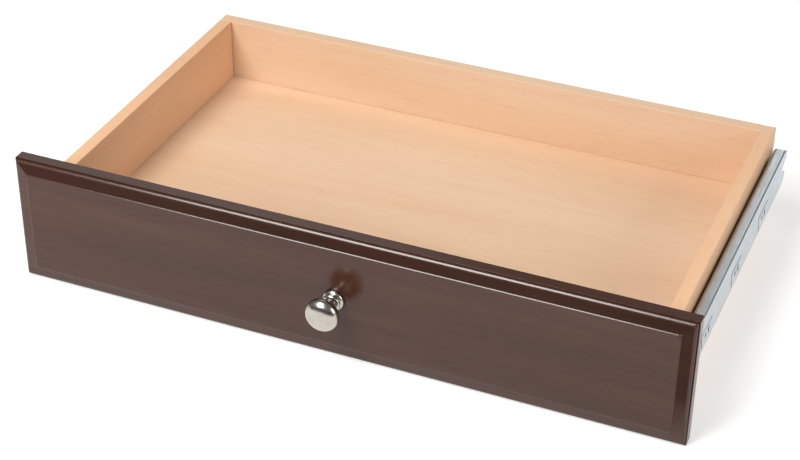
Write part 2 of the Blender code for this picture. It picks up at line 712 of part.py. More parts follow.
def build_slides(datum):
    zinc = new_material("zinc_plated_steel", (0.66, 0.68, 0.70), 0.38, 1.0)
    steel = new_material("bright_steel", (0.74, 0.74, 0.75), 0.22, 1.0)
    black = new_material("black_plastic", (0.02, 0.02, 0.02), 0.45)
    rubber = new_material("grey_bumper", (0.08, 0.08, 0.08), 0.7)
    head_across = DRAWER_WEB - SHEET - GAP
    flat = (0, 0, 0)
    inward = (0, -math.pi / 2, 0)
    rivet_across = DRAWER_WEB - GAP / 2 - RIVET_LENGTH
    outer = retainer_mesh("outer_ball_retainer", **OUTER_CAGE)
    inner = retainer_mesh("inner_ball_retainer", **INNER_CAGE)
    pieces = [
        ("cabinet_member", cabinet_member_mesh(), zinc, (0, 0, 0), flat),
        ("intermediate_member", intermediate_member_mesh(), zinc, (0, 0, 0), flat),
        ("drawer_member", drawer_member_mesh(), zinc, (0, 0, 0), flat),
        ("outer_ball_retainer", outer, steel, (0, CAGE_START, 0), flat),
        ("inner_ball_retainer", inner, steel, (0, CAGE_START, 0), flat),
        ("release_lever", lever_mesh(), black, (LEVER_ACROSS, LEVER_PIVOT, 0), flat),
        ("lever_rivet", rivet_mesh(), steel, (rivet_across, LEVER_PIVOT, 0), inward),
        ("rear_bumper", bumper_mesh(), rubber, (0, BUMPER_START, 0), flat),
    ]
    screw = pan_screw_mesh("slide_screw", 0.0018, 0.0095, 0.0035, 0.0020)
    for number, place in enumerate(SCREW_PLACES):
        pieces.append((f"slide_screw_{number + 1}", screw, zinc, (head_across, place, 0), inward))
    # The two slides are the same product: the right one is the left one turned half round its length.
    wall = BOX_WIDTH / 2 + SLIDE_SPACE
    for side_name, x, turn in (("left", -wall, 0), ("right", wall, math.pi)):
        slide = link(bpy.data.objects.new(f"{side_name}_slide_datum", None), PARTS, datum)
        slide.location = (x, SLIDE_START, SLIDE_HEIGHT)
        slide.rotation_euler = (0, turn, 0)
        for name, mesh, material, location, rotation in pieces:
            if not mesh.materials:
                mesh.materials.append(material)
            link(bpy.data.objects.new(f"{side_name}_{name}", mesh), PARTS, slide, location, rotation)


clear_scene()
PARTS = new_collection("closet_drawer")
CUTTERS = new_collection("cutters")
CUTTERS.hide_render = True
drawer_datum = link(bpy.data.objects.new("drawer_datum", None), PARTS, location=(0, DATUM_Y, 0))
build_box(drawer_datum)
build_fastenings(drawer_datum)
build_slides(drawer_datum)
bpy.context.view_layer.update()
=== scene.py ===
"""Looks for a closet drawer on ball-bearing slides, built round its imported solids.

Lengths are in metres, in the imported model's frame: +X right, +Y back, +Z up.
"""

import math

import bmesh
import bpy
from mathutils import Matrix, Vector


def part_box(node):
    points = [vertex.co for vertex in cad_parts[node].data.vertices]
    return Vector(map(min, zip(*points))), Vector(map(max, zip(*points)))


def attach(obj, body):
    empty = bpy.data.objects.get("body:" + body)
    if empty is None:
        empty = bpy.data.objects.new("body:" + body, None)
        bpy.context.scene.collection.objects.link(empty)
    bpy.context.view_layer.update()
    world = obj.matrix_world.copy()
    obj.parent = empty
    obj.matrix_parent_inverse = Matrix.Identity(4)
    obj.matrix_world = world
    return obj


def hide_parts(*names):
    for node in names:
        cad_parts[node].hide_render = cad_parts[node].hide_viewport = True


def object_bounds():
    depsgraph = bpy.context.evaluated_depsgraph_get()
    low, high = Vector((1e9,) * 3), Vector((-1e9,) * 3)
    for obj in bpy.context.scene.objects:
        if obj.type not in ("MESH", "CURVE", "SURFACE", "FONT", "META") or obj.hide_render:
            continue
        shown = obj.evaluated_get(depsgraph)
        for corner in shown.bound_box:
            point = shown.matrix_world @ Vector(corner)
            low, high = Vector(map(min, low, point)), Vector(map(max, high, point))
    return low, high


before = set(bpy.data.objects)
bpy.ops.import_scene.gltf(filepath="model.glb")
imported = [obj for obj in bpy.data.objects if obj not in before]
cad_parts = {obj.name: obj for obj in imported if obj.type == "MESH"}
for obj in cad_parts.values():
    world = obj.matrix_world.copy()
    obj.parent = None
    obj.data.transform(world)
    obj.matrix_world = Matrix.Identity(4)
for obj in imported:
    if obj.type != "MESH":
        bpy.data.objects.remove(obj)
CAD_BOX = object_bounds()

QUARTER = math.pi / 2
GAP = 0.0003
# How far a cutter runs past the face it opens
PAST = 0.002
# Edges sharper than this many degrees stay sharp when a mesh is smoothed
SHARP_ANGLE = 35
HOLE_SEGMENTS = 32

# Drawer front: insets from its outer edge, rises above the plane of its edge, and bores in its back
FRONT_LOW, FRONT_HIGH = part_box("drawer_front")
FRONT_THICKNESS = FRONT_HIGH.y - FRONT_LOW.y
EDGE_THICKNESS = 0.0104
EDGE_ROUNDING = 0.0003
STEP_WIDTH = 0.0011
STEP_RADIUS = 0.0029
STEP_RISE = 0.0001
STEP_END_ANGLE = 98
SLOPE_END = 0.0123
SLOPE_RISE = 0.0044
SLOPE_LEVELS_OFF = 0.0006
SLOPE_LAST_RISE = 0.0001
FIELD_RADIUS = 0.0016
FIELD_START_ANGLE = 164
OUTER_CORNER = 0.0012
STEP_CORNER = 0.0018
FIELD_CORNER = 0.0024
GROOVE_DEPTH = 0.0058
KNOB_BORE = 0.0025
FRONT_BORES = (("lower_cam_bolt", 0.0028), ("upper_cam_bolt", 0.0028), ("front_dowel", 0.0033))

# Knob: the front of its head is a superellipse, and the back a quarter of an ellipse
HEAD_RISE = 0.0082
HEAD_BACK = 0.0066
NECK_RADIUS = 0.0062
HEAD_FULLNESS = 2.4
HEAD_STEPS = 32
HEAD_BACK_STEPS = 17
KNOB_SEGMENTS = 112
BEAD_RADIUS = 0.0017
SCREW_SOCKET_RADIUS = 0.0023
SCREW_SOCKET_DEPTH = 0.009

# Screws and cam locks
SCREW_SEGMENTS = 40
THREAD_DEPTH = 0.00028
MACHINE_PITCH = 0.0009
WOOD_PITCH = 0.0011
RECESS_SHARE = 0.52
WOOD_SCREW_RECESS = 0.0014
KNOB_SCREW_SHANK = 0.0020
WOOD_SCREW_SHANK = 0.0017
SLIDE_SCREW_SHANK = 0.0018
CAM_SEGMENTS = 56
CAM_SLOT_HALF = 0.0037
CAM_FACE_DEPTH = 0.0002
CAM_ARROW_RADIUS = 0.0007

# Slide sections: "across" is the distance from the cabinet wall, "up" from the middle of the channel
SHEET = 0.0012
CAGE_SHEET = 0.0006
RACE_BEND = 0.0013
DRAWER_BEND = 0.0014
CAGE_BEND = 0.0008
INTERMEDIATE_WEB = 0.0026
DRAWER_WEB = 0.0124
DRAWER_FLANGE_TIP = 0.0056
OUTER_ROW = (0.0066, 0.0158)
INNER_ROW = (0.0076, 0.0106)
RACE_RADIUS = 0.0032
CABINET_CURL = 0.0077
BALL_RADIUS = 0.0018
BALLS_PER_ROW = 6
POCKET_GAP = 0.00008
# (name, ball row, web, half height, tip of the flanges) of each ball cage
CAGES = (("outer", OUTER_ROW, 0.0016, 0.0161, 0.0083), ("inner", INNER_ROW, 0.0042, 0.0109, 0.0093))

# Slide details: cuts from the rear end, places from the front end, heights from the middle
FLANGE_CUT_BACK = 0.008
WEB_END_HALF = 0.0160
WEB_END_CORNER = 0.003
NOTCH_DEPTH = 0.012
STATION_START = 0.0464
STATION_PITCH = 0.096
STATIONS = 3
STATION_HOLE_UP = 0.0062
ROUND_HOLE_AFTER = 0.0155
OVAL_HOLE_AFTER = 0.025
LANCE_LENGTH = 0.034
LANCE_LOW = -0.0025
LANCE_SLIT = 0.0015
FRONT_HOLE = 0.018
WEB_HOLE_RADIUS = 0.0022
SCREW_HOLE_RADIUS = 0.0021
STATION_OVAL_HALF = 0.0013
INTERMEDIATE_SLOTS = (0.045, 0.165, 0.285)
INTERMEDIATE_SLOT_HALVES = (0.021, 0.004)
DRAWER_SLOTS = (0.055, 0.255)
DRAWER_SLOT_HALF = 0.0020
DRAWER_SLOT_RADIUS = 0.0022
WINDOW_HALF_LENGTH = 0.006
WINDOW_CORNER = 0.0012

# Spans that cutters reach across: anything flat about zero, then the web of each member
FLAT_SPAN = (-0.005, 0.005)
CABINET_WEB_SPAN = (-0.005, 0.0014)
INTERMEDIATE_WEB_SPAN = (0.001, 0.0040)
DRAWER_WEB_SPAN = (0.0105, 0.015)
FLANGE_SPAN = (0.0016, 0.02)
# A height above any of the slide's sections
CLEAR_UP = 0.03

# Levers, rivets and stops
RIVET_RADIUS = 0.0018
RIVET_HEAD = 0.0008
LEVER_TAB = -0.042
LEVER_TAB_RADIUS = 0.0024
LEVER_RIBS = 5
LEVER_RIB_PITCH = 0.0014
LEVER_RIB_DEPTH = 0.0002
LEVER_RIB_WIDTH = 0.0005
STOP_BACK = 0.0016
STOP_EASING = 0.0010
STOP_STUD_SPAN = (0.0004, 0.0040)
STOP_STUD_RADIUS = 0.0017
STOP_GROOVES_UP = (-0.0055, 0.0, 0.0055)
STOP_GROOVE_HALF = 0.0007
STOP_GROOVE_DEPTH = 0.0006

# Studio
FLOOR_HALF = 14.0
FLOOR_GAP = 0.0002
FLOOR_GLOW = 0.54
CARD_THICKNESS = 0.003
LIGHTS_AIM_UP = 0.05
SKY_STRENGTH = 0.20
CAMERA_RIGHT = 0.53437
CAMERA_AHEAD = 1.17686
CAMERA_UP = 0.96814
CAMERA_TURN = (56.7196, -0.6044, 22.7035)

# Colours, linear, and colour ramps as (position, colour)
ESPRESSO_TONES = (
    (0.30, (0.048, 0.0165, 0.0085)),
    (0.52, (0.062, 0.0225, 0.0125)),
    (0.72, (0.074, 0.0290, 0.0175)),
)
ESPRESSO_RED = (0.094, 0.0200, 0.0125)
ESPRESSO_PORE = (0.020, 0.0080, 0.0055)
# Pale that the band's copy of the foil takes near the bottom: a painted reflection of the floor
ESPRESSO_PAINTED_REFLECTION = (0.086, 0.050, 0.043)
MAPLE_TONES = ((0.30, (0.655, 0.422, 0.262)), (0.50, (0.695, 0.470, 0.305)), (0.72, (0.725, 0.510, 0.345)))
MAPLE_BAND = (0.620, 0.400, 0.255)
MAPLE_FLECK = (0.560, 0.320, 0.205)
NICKEL_TONES = ((0.3, (0.450, 0.414, 0.368)), (0.7, (0.515, 0.478, 0.430)))
BALL_TONES = ((0.3, (0.62, 0.63, 0.64)), (0.7, (0.76, 0.76, 0.77)))
BEECH_TONES = ((0.3, (0.52, 0.33, 0.18)), (0.7, (0.72, 0.53, 0.34)))
FLOOR_TONES = ((0.3, (0.54, 0.54, 0.54)), (0.7, (0.56, 0.56, 0.56)))
CARD_TONES = ((0.3, (0.02, 0.02, 0.02)), (0.7, (0.03, 0.03, 0.03)))
WHITE = (1.0, 1.0, 1.0, 1.0)

# Pieces of the drawer, apart from the studio's
PIECES = bpy.data.collections.new("closet_drawer")
bpy.context.scene.collection.children.link(PIECES)


# Node graphs for materials


def add_node(tree, kind, inputs=None, **settings):
    """Adds a shader node. An input given a socket is linked, and one given a number or colour is set."""
    made = tree.nodes.new(kind)
    for key, value in settings.items():
        setattr(made, key, value)
    for key, value in (inputs or {}).items():
        if isinstance(value, bpy.types.NodeSocket):
            tree.links.new(value, made.inputs[key])
        else:
            made.inputs[key].default_value = value
    return made


def place_on_piece(tree, stretch, origin=(0, 0, 0)):
    """Coordinates that stay with the piece, stretched so that a pattern runs along its grain."""
    where = add_node(tree, "ShaderNodeTexCoord").outputs["Object"]
    back = tuple(-value for value in origin)
    moved = add_node(tree, "ShaderNodeMapping", {"Vector": where, "Location": back})
    stretched = add_node(tree, "ShaderNodeMapping", {"Vector": moved.outputs[0], "Scale": stretch})
    return stretched.outputs[0]


def noise(tree, stretch, detail, roughness=0.5, distortion=0.0):
    """Noise of about one cycle a metre along each axis, times the stretch."""
    inputs = {"Vector": place_on_piece(tree, stretch), "Scale": 1.0, "Detail": detail}
    inputs.update({"Roughness": roughness, "Distortion": distortion})
    return add_node(tree, "ShaderNodeTexNoise", inputs).outputs["Fac"]


def ramp(tree, factor, stops):
    """A colour ramp through (position, colour) stops."""
    made = add_node(tree, "ShaderNodeValToRGB", {"Fac": factor})
    scale = made.color_ramp
    while len(scale.elements) < len(stops):
        scale.elements.new(0.5)
    for element, (position, color) in zip(scale.elements, stops):
        element.position = position
        element.color = (*color, 1.0)
    return made.outputs["Color"]


def stretch_range(tree, value, low, high, new_low, new_high):
    """The value moved from one range to another, and kept inside it."""
    inputs = {"Value": value, "From Min": low, "From Max": high, "To Min": new_low, "To Max": new_high}
    return add_node(tree, "ShaderNodeMapRange", inputs).outputs["Result"]


def mix(tree, factor, first, second):
    """A blend of two colours, or of two values taken as greys. A factor of 1 gives the second."""
    made = add_node(tree, "ShaderNodeMix", data_type="RGBA", blend_type="MIX")
    for name, value in (("Factor_Float", factor), ("A_Color", first), ("B_Color", second)):
        socket = next(one for one in made.inputs if one.identifier == name)
        if isinstance(value, bpy.types.NodeSocket):
            tree.links.new(value, socket)
        else:
            socket.default_value = value if name == "Factor_Float" else (*value, 1.0)
    return next(one for one in made.outputs if one.identifier == "Result_Color")


def bump(tree, height, depth, strength):
    """The normal of a relief that is up to depth metres deep."""
    inputs = {"Height": height, "Distance": depth, "Strength": strength}
    return add_node(tree, "ShaderNodeBump", inputs).outputs["Normal"]


def new_material(name, **values):
    """A Principled material, with its constant values set on the shader's own sockets."""
    material = bpy.data.materials.new(name)
    material.use_nodes = True
    shader = material.node_tree.nodes["Principled BSDF"]
    for key, value in values.items():
        shader.inputs[key.replace("_", " ").title().replace("Ior", "IOR")].default_value = value
    return material, material.node_tree, shader


def wire(tree, shader, **links):
    """Links sockets to the shader's inputs, such as base_color."""
    for key, socket in links.items():
        tree.links.new(socket, shader.inputs[key.replace("_", " ").title()])


# Materials


def shaded(color, shade):
    """The colour made darker or lighter by a factor."""
    return tuple(value * shade for value in color)


def dark_foil(name, gloss, shade, painted_reflection_heights=None):
    """Espresso foil: grain, fine pores and reddish mottling. It can pale downwards between two heights, as a
    painted reflection of the floor.
    """
    material, tree, shader = new_material(name, specular_ior_level=gloss)
    figure = noise(tree, (3.0, 26.0, 42.0), 6.0, 0.6, 0.6)
    base = ramp(tree, figure, [(place, shaded(tone, shade)) for place, tone in ESPRESSO_TONES])
    patches = noise(tree, (5.0, 9.0, 13.0), 3.0, 0.5, 0.3)
    red = stretch_range(tree, patches, 0.55, 0.80, 0.0, 0.4)
    base = mix(tree, red, base, shaded(ESPRESSO_RED, shade))
    pores = noise(tree, (26.0, 420.0, 520.0), 2.0)
    pore = stretch_range(tree, pores, 0.60, 0.72, 0.0, 0.55)
    base = mix(tree, pore, base, ESPRESSO_PORE)
    # Painted reflection of the floor: the colour pales towards the lower height
    if painted_reflection_heights:
        where = add_node(tree, "ShaderNodeTexCoord").outputs["Object"]
        height = add_node(tree, "ShaderNodeSeparateXYZ", {"Vector": where}).outputs["Z"]
        base = mix(tree, stretch_range(tree, height, *painted_reflection_heights, 1.0, 0.0), base, ESPRESSO_PAINTED_REFLECTION)
    skin = noise(tree, (900.0, 900.0, 900.0), 2.0)
    rough = stretch_range(tree, skin, 0.3, 0.7, 0.17, 0.24)
    relief = mix(tree, 0.75, skin, pores)
    wire(tree, shader, base_color=base, roughness=rough, normal=bump(tree, relief, 0.00004, 0.35))
    return material


def maple_foil(name, along, tint=(1.0, 1.0, 1.0)):
    """Pale maple foil: a soft figure and short flecks that run along one axis."""
    material, tree, shader = new_material(name)

    def grain(lengthways, across):
        stretch = [across, across, across]
        stretch[along] = lengthways
        return tuple(stretch)

    figure = noise(tree, grain(2.2, 15.0), 4.0, 0.55, 0.8)
    tones = [(place, tuple(map(math.prod, zip(tone, tint)))) for place, tone in MAPLE_TONES]
    base = ramp(tree, figure, tones)
    bands = noise(tree, grain(5.0, 110.0), 3.0, 0.6)
    base = mix(tree, stretch_range(tree, bands, 0.45, 0.75, 0.0, 0.25), base, MAPLE_BAND)
    flecks = noise(tree, grain(42.0, 620.0), 2.0)
    fleck = stretch_range(tree, flecks, 0.60, 0.70, 0.0, 0.27)
    base = mix(tree, fleck, base, MAPLE_FLECK)
    skin = noise(tree, (700.0, 700.0, 700.0), 2.0)
    rough = stretch_range(tree, skin, 0.3, 0.7, 0.42, 0.54)
    wire(tree, shader, base_color=base, roughness=rough, normal=bump(tree, flecks, 0.00003, 0.4))
    return material


def plated_steel(name, color, rough_low, rough_high):
    """Zinc-plated sheet: fine rolling lines along the piece and faint cloudy patches."""
    material, tree, shader = new_material(name, metallic=1.0)
    lines = noise(tree, (1500.0, 22.0, 1500.0), 3.0, 0.6)
    clouds = noise(tree, (60.0, 60.0, 60.0), 4.0, 0.6)
    base = mix(tree, stretch_range(tree, clouds, 0.35, 0.70, 0.0, 1.0), color, shaded(color, 0.86))
    base = mix(tree, stretch_range(tree, lines, 0.45, 0.80, 0.0, 0.35), base, shaded(color, 0.7))
    rough = stretch_range(tree, lines, 0.25, 0.75, rough_low, rough_high)
    wire(tree, shader, base_color=base, roughness=rough, normal=bump(tree, lines, 0.00001, 0.4))
    return material


def satin_nickel(centre):
    """Warm satin nickel, brushed in rings round the knob's axis."""
    material, tree, shader = new_material("brushed_satin_nickel", metallic=1.0)
    where = place_on_piece(tree, (1.0, 1.0, 1.0), origin=centre)
    rings = add_node(
        tree,
        "ShaderNodeTexWave",
        {"Vector": where, "Scale": 900.0, "Distortion": 3.0, "Detail": 3.0, "Detail Scale": 2.0},
        wave_type="RINGS",
        rings_direction="Y",
    ).outputs["Fac"]
    clouds = noise(tree, (140.0, 140.0, 140.0), 3.0)
    base = ramp(tree, clouds, NICKEL_TONES)
    rough = stretch_range(tree, rings, 0.0, 1.0, 0.19, 0.26)
    wire(tree, shader, base_color=base, roughness=rough, normal=bump(tree, rings, 0.000004, 0.25))
    return material


def polished_steel():
    """Bright hard steel with a faint cloudiness in its shine."""
    material, tree, shader = new_material("polished_ball_steel", metallic=1.0)
    clouds = noise(tree, (250.0, 250.0, 250.0), 3.0)
    base = ramp(tree, clouds, BALL_TONES)
    wire(tree, shader, base_color=base, roughness=stretch_range(tree, clouds, 0.3, 0.7, 0.10, 0.20))
    return material


def moulded(name, color, rough_low, rough_high):
    """Moulded plastic or rubber with a fine pebbled skin."""
    material, tree, shader = new_material(name)
    grain = noise(tree, (1600.0, 1600.0, 1600.0), 2.0)
    clouds = noise(tree, (90.0, 90.0, 90.0), 3.0)
    base = mix(tree, stretch_range(tree, clouds, 0.4, 0.7, 0.0, 1.0), color, shaded(color, 1.5))
    rough = stretch_range(tree, grain, 0.3, 0.7, rough_low, rough_high)
    wire(tree, shader, base_color=base, roughness=rough, normal=bump(tree, grain, 0.00003, 0.5))
    return material


def beech():
    """Bare beech, its grain along the dowels."""
    material, tree, shader = new_material("turned_beech", roughness=0.65)
    figure = noise(tree, (260.0, 14.0, 260.0), 4.0, 0.6)
    base = ramp(tree, figure, BEECH_TONES)
    wire(tree, shader, base_color=base, normal=bump(tree, figure, 0.00004, 0.5))
    return material


# Meshes


def to_mesh(bm, name):
    """The edited mesh as a new mesh, with the edit freed."""
    mesh = bpy.data.meshes.new(name)
    bm.to_mesh(mesh)
    bm.free()
    return mesh


def smooth(mesh, degrees=SHARP_ANGLE):
    """The mesh shaded smooth, apart from edges sharper than an angle."""
    mesh.shade_smooth()
    mesh.set_sharp_from_angle(angle=math.radians(degrees))
    return mesh


def add_box(bm, low, high):
    """Adds a box between two opposite corners."""
    made = bmesh.ops.create_cube(bm, size=1.0)["verts"]
    bmesh.ops.scale(bm, vec=Vector(high) - Vector(low), verts=made)
    bmesh.ops.translate(bm, vec=(Vector(high) + Vector(low)) / 2, verts=made)


def add_rod(bm, start, end, radius, segments=40):
    """Adds a round bar between two points."""
    start, end = Vector(start), Vector(end)
    along = end - start
    place = Matrix.Translation((start + end) / 2) @ along.to_track_quat("Z", "Y").to_matrix().to_4x4()
    bmesh.ops.create_cone(
        bm, cap_ends=True, segments=segments, radius1=radius, radius2=radius, depth=along.length, matrix=place
    )


def arc(middle, radius, start, end, steps):
    """Points on an arc, from the start angle to the end angle in degrees."""
    points = []
    for step in range(steps + 1):
        angle = math.radians(start + (end - start) * step / steps)
        points.append((middle[0] + radius * math.cos(angle), middle[1] + radius * math.sin(angle)))
    return points


def flowing(points, steps):
    """A Catmull-Rom curve through the points, with some steps between each pair."""
    ends = [points[0], *points, points[-1]]
    result = [points[0]]
    for before, start, end, after in zip(ends, ends[1:], ends[2:], ends[3:]):
        for step in range(1, steps + 1):
            t = step / steps
            place = []
            for a, b, c, d in zip(before, start, end, after):
                bend = (2 * a - 5 * b + 4 * c - d) * t * t + (3 * b - a - 3 * c + d) * t ** 3
                place.append((2 * b + (c - a) * t + bend) / 2)
            result.append(tuple(place))
    return result


def turned(name, profile, segments):
    """A round solid about Z, from (radius, height) points that run down its outer side."""
    bm = bmesh.new()
    corners = [bm.verts.new((radius, 0, height)) for radius, height in profile]
    edges = [bm.edges.new(pair) for pair in zip(corners, corners[1:])]
    outline = corners + edges
    turn = 2 * math.pi
    bmesh.ops.spin(
        bm, geom=outline, cent=(0, 0, 0), axis=(0, 0, 1), angle=turn, steps=segments, use_merge=True
    )
    bmesh.ops.remove_doubles(bm, verts=bm.verts, dist=0.000002)
    bmesh.ops.recalc_face_normals(bm, faces=bm.faces)
    return to_mesh(bm, name)


def baked(item, name):
    """Applies an object's modifiers, removes the object and returns the finished mesh."""
    bpy.context.scene.collection.objects.link(item)
    graph = bpy.context.evaluated_depsgraph_get()
    mesh = bpy.data.meshes.new_from_object(item.evaluated_get(graph))
    mesh.name = name
    bpy.data.objects.remove(item)
    return mesh


def cut(mesh, cutters, operation="DIFFERENCE"):
    """The mesh after a boolean with each cutter in turn."""
    item = bpy.data.objects.new(mesh.name, mesh)
    helpers = []
    for number, cutter in enumerate(cutters):
        helper = bpy.data.objects.new(f"{mesh.name}_cutter_{number}", cutter)
        bpy.context.scene.collection.objects.link(helper)
        helpers.append(helper)
        change = item.modifiers.new(f"Cut {number}", "BOOLEAN")
        change.operation = operation
        change.object = helper
    result = baked(item, mesh.name)
    for helper in helpers:
        bpy.data.objects.remove(helper)
    return result


def eased(mesh, width, segments):
    """The mesh with its sharp edges rounded."""
    item = bpy.data.objects.new(mesh.name, mesh)
    ease = item.modifiers.new("Eased edges", "BEVEL")
    ease.width = width
    ease.segments = segments
    ease.angle_limit = math.radians(SHARP_ANGLE)
    return baked(item, mesh.name)


def plate(name, points, low, high):
    """A (y, up) outline, extruded between two distances from the cabinet wall."""
    bm = bmesh.new()
    first = [bm.verts.new((low, y, up)) for y, up in points]
    face = bm.faces.new(first)
    made = bmesh.ops.extrude_face_region(bm, geom=[face])["geom"]
    moved = [item for item in made if isinstance(item, bmesh.types.BMVert)]
    bmesh.ops.translate(bm, vec=(high - low, 0, 0), verts=moved)
    bmesh.ops.recalc_face_normals(bm, faces=bm.faces)
    return to_mesh(bm, name)


def rods(name, places, low, high, radius):
    """Round bars across the web at (y, up) places."""
    bm = bmesh.new()
    for y, up in places:
        add_rod(bm, (low, y, up), (high, y, up), radius, HOLE_SEGMENTS)
    return to_mesh(bm, name)


def folded_sheet(name, outline, thickness, length):
    """A folded sheet whose (across, up) outline is its outer skin."""
    bm = bmesh.new()
    front = [bm.verts.new((across, 0, up)) for across, up in outline]
    back = [bm.verts.new((across, length, up)) for across, up in outline]
    for index in range(len(outline) - 1):
        bm.faces.new((front[index], front[index + 1], back[index + 1], back[index]))
    item = bpy.data.objects.new(name, to_mesh(bm, name))
    wall = item.modifiers.new("Sheet", "SOLIDIFY")
    wall.thickness = thickness
    wall.offset = -1.0
    wall.use_even_offset = True
    return baked(item, name)


def add_piece(name, mesh, material, body, nodes=(), slot=None, place=None, weighted=False):
    """Adds a finished piece that rides on a body and stands for CAD nodes."""
    if place is not None:
        mesh.transform(place)
    mesh.materials.clear()
    mesh.materials.append(material)
    piece = bpy.data.objects.new(name, mesh)
    PIECES.objects.link(piece)
    if weighted:
        even = piece.modifiers.new("Weighted normals", "WEIGHTED_NORMAL")
        even.keep_sharp = True
    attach(piece, body)
    if nodes:
        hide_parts(*nodes)
    return piece


# Drawer front


def edge_rings():
    """(inset, height above the edge plane, corner radius) from the back face round to the flat field."""
    rings = [(EDGE_ROUNDING, -EDGE_THICKNESS, OUTER_CORNER)]
    for inset, height in arc((EDGE_ROUNDING, EDGE_ROUNDING - EDGE_THICKNESS), EDGE_ROUNDING, 270, 180, 4)[1:]:
        rings.append((inset, height, OUTER_CORNER))
    for inset, height in arc((EDGE_ROUNDING, -EDGE_ROUNDING), EDGE_ROUNDING, 180, 90, 4):
        rings.append((inset, height, OUTER_CORNER))
    rings.append((STEP_WIDTH, 0.0, STEP_CORNER))
    middle = (STEP_WIDTH + STEP_RADIUS, STEP_RISE)
    for inset, height in arc(middle, STEP_RADIUS, 180, STEP_END_ANGLE, 9):
        rings.append((inset, height, STEP_CORNER))
    rings.append((SLOPE_END - SLOPE_LEVELS_OFF, SLOPE_RISE - SLOPE_LAST_RISE, FIELD_CORNER))
    rings.append((SLOPE_END, SLOPE_RISE, FIELD_CORNER))
    middle = (SLOPE_END + FIELD_RADIUS, FRONT_THICKNESS - EDGE_THICKNESS - FIELD_RADIUS)
    for inset, height in arc(middle, FIELD_RADIUS, FIELD_START_ANGLE, 90, 8):
        rings.append((inset, height, FIELD_CORNER))
    return rings


def rounded_rectangle(half_width, half_height, radius, steps=6):
    """Points of a rectangle about zero with arcs for corners."""
    points = []
    for quarter, (x, z) in enumerate(((1, 1), (-1, 1), (-1, -1), (1, -1))):
        middle = (x * (half_width - radius), z * (half_height - radius))
        points += arc(middle, radius, quarter * 90, quarter * 90 + 90, steps)
    return points


def front_mesh():
    """The routed front, as rounded rectangles lofted from its back face to the flat field."""
    half_width = (FRONT_HIGH.x - FRONT_LOW.x) / 2
    half_height = (FRONT_HIGH.z - FRONT_LOW.z) / 2
    edge_plane = FRONT_HIGH.y - EDGE_THICKNESS
    bm = bmesh.new()
    rows = []
    for inset, height, corner in edge_rings():
        outline = rounded_rectangle(half_width - inset, half_height - inset, corner)
        rows.append([bm.verts.new((x, edge_plane - height, z + half_height)) for x, z in outline])
    for here, there in zip(rows, rows[1:]):
        for index, corner in enumerate(here):
            after = (index + 1) % len(here)
            bm.faces.new((corner, here[after], there[after], there[index]))
    bm.faces.new(rows[0])
    bm.faces.new(rows[-1])
    bmesh.ops.recalc_face_normals(bm, faces=bm.faces)
    return to_mesh(bm, "routed_front")


def mark_profile(mesh):
    """Second material, painted shade, on the band's strip and slope at the top and right, third on its arcs
    at the top.

    Insets are measured from the top or right edge, whichever is nearer. Faces nearer to the left or
    bottom edge keep the first material.
    """
    edge_plane = FRONT_HIGH.y - EDGE_THICKNESS
    step_end = STEP_WIDTH + STEP_RADIUS * 0.8
    for face in mesh.polygons:
        aside = FRONT_HIGH.x - face.center.x
        above = FRONT_HIGH.z - face.center.z
        inset = min(aside, above)
        proud = edge_plane - face.center.y
        if min(face.center.x - FRONT_LOW.x, face.center.z - FRONT_LOW.z) < inset:
            continue
        strip = inset < STEP_WIDTH and abs(proud) < EDGE_ROUNDING / 4
        slope = step_end < inset < SLOPE_END and proud > STEP_RADIUS * 0.9
        on_arc = STEP_WIDTH < inset <= step_end or SLOPE_END < inset < SLOPE_END + FIELD_RADIUS
        # Painted shade: the strip in the corner and the slope at the top and right take the darker, duller
        # copy of the foil
        if strip or slope:
            face.material_index = 1
        elif on_arc and above < aside and proud > 0:
            face.material_index = 2


def front_bores():
    """Floor groove, knob hole, and the bores for the cam bolts and dowels."""
    floor_low, floor_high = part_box("bottom_panel")
    knob_low, knob_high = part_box("knob")
    back_y = FRONT_HIGH.y
    bm = bmesh.new()
    add_box(
        bm,
        (floor_low.x - GAP, back_y - GROOVE_DEPTH, floor_low.z - GAP),
        (floor_high.x + GAP, back_y + PAST, floor_high.z + GAP),
    )
    knob_up = (knob_low.z + knob_high.z) / 2
    add_rod(bm, (0, back_y + PAST, knob_up), (0, FRONT_LOW.y - PAST, knob_up), KNOB_BORE)
    for side in ("left", "right"):
        for what, radius in FRONT_BORES:
            low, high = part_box(f"{side}_{what}")
            middle = (low + high) / 2
            add_rod(bm, (middle.x, back_y + PAST, middle.z), (middle.x, low.y - GAP, middle.z), radius)
    return to_mesh(bm, "front_bores")


def build_front(material, painted_shade_material, arc_material):
    """The routed front in one mesh with three finishes, the second of them painted shade on the band at the
    top and right.
    """
    mesh = smooth(cut(front_mesh(), [front_bores()]), 28)
    front = add_piece("routed_front", mesh, material, "drawer", ["drawer_front"], "dark_foil", weighted=True)
    front.data.materials.append(painted_shade_material)
    front.data.materials.append(arc_material)
    mark_profile(front.data)


# Knob and screws


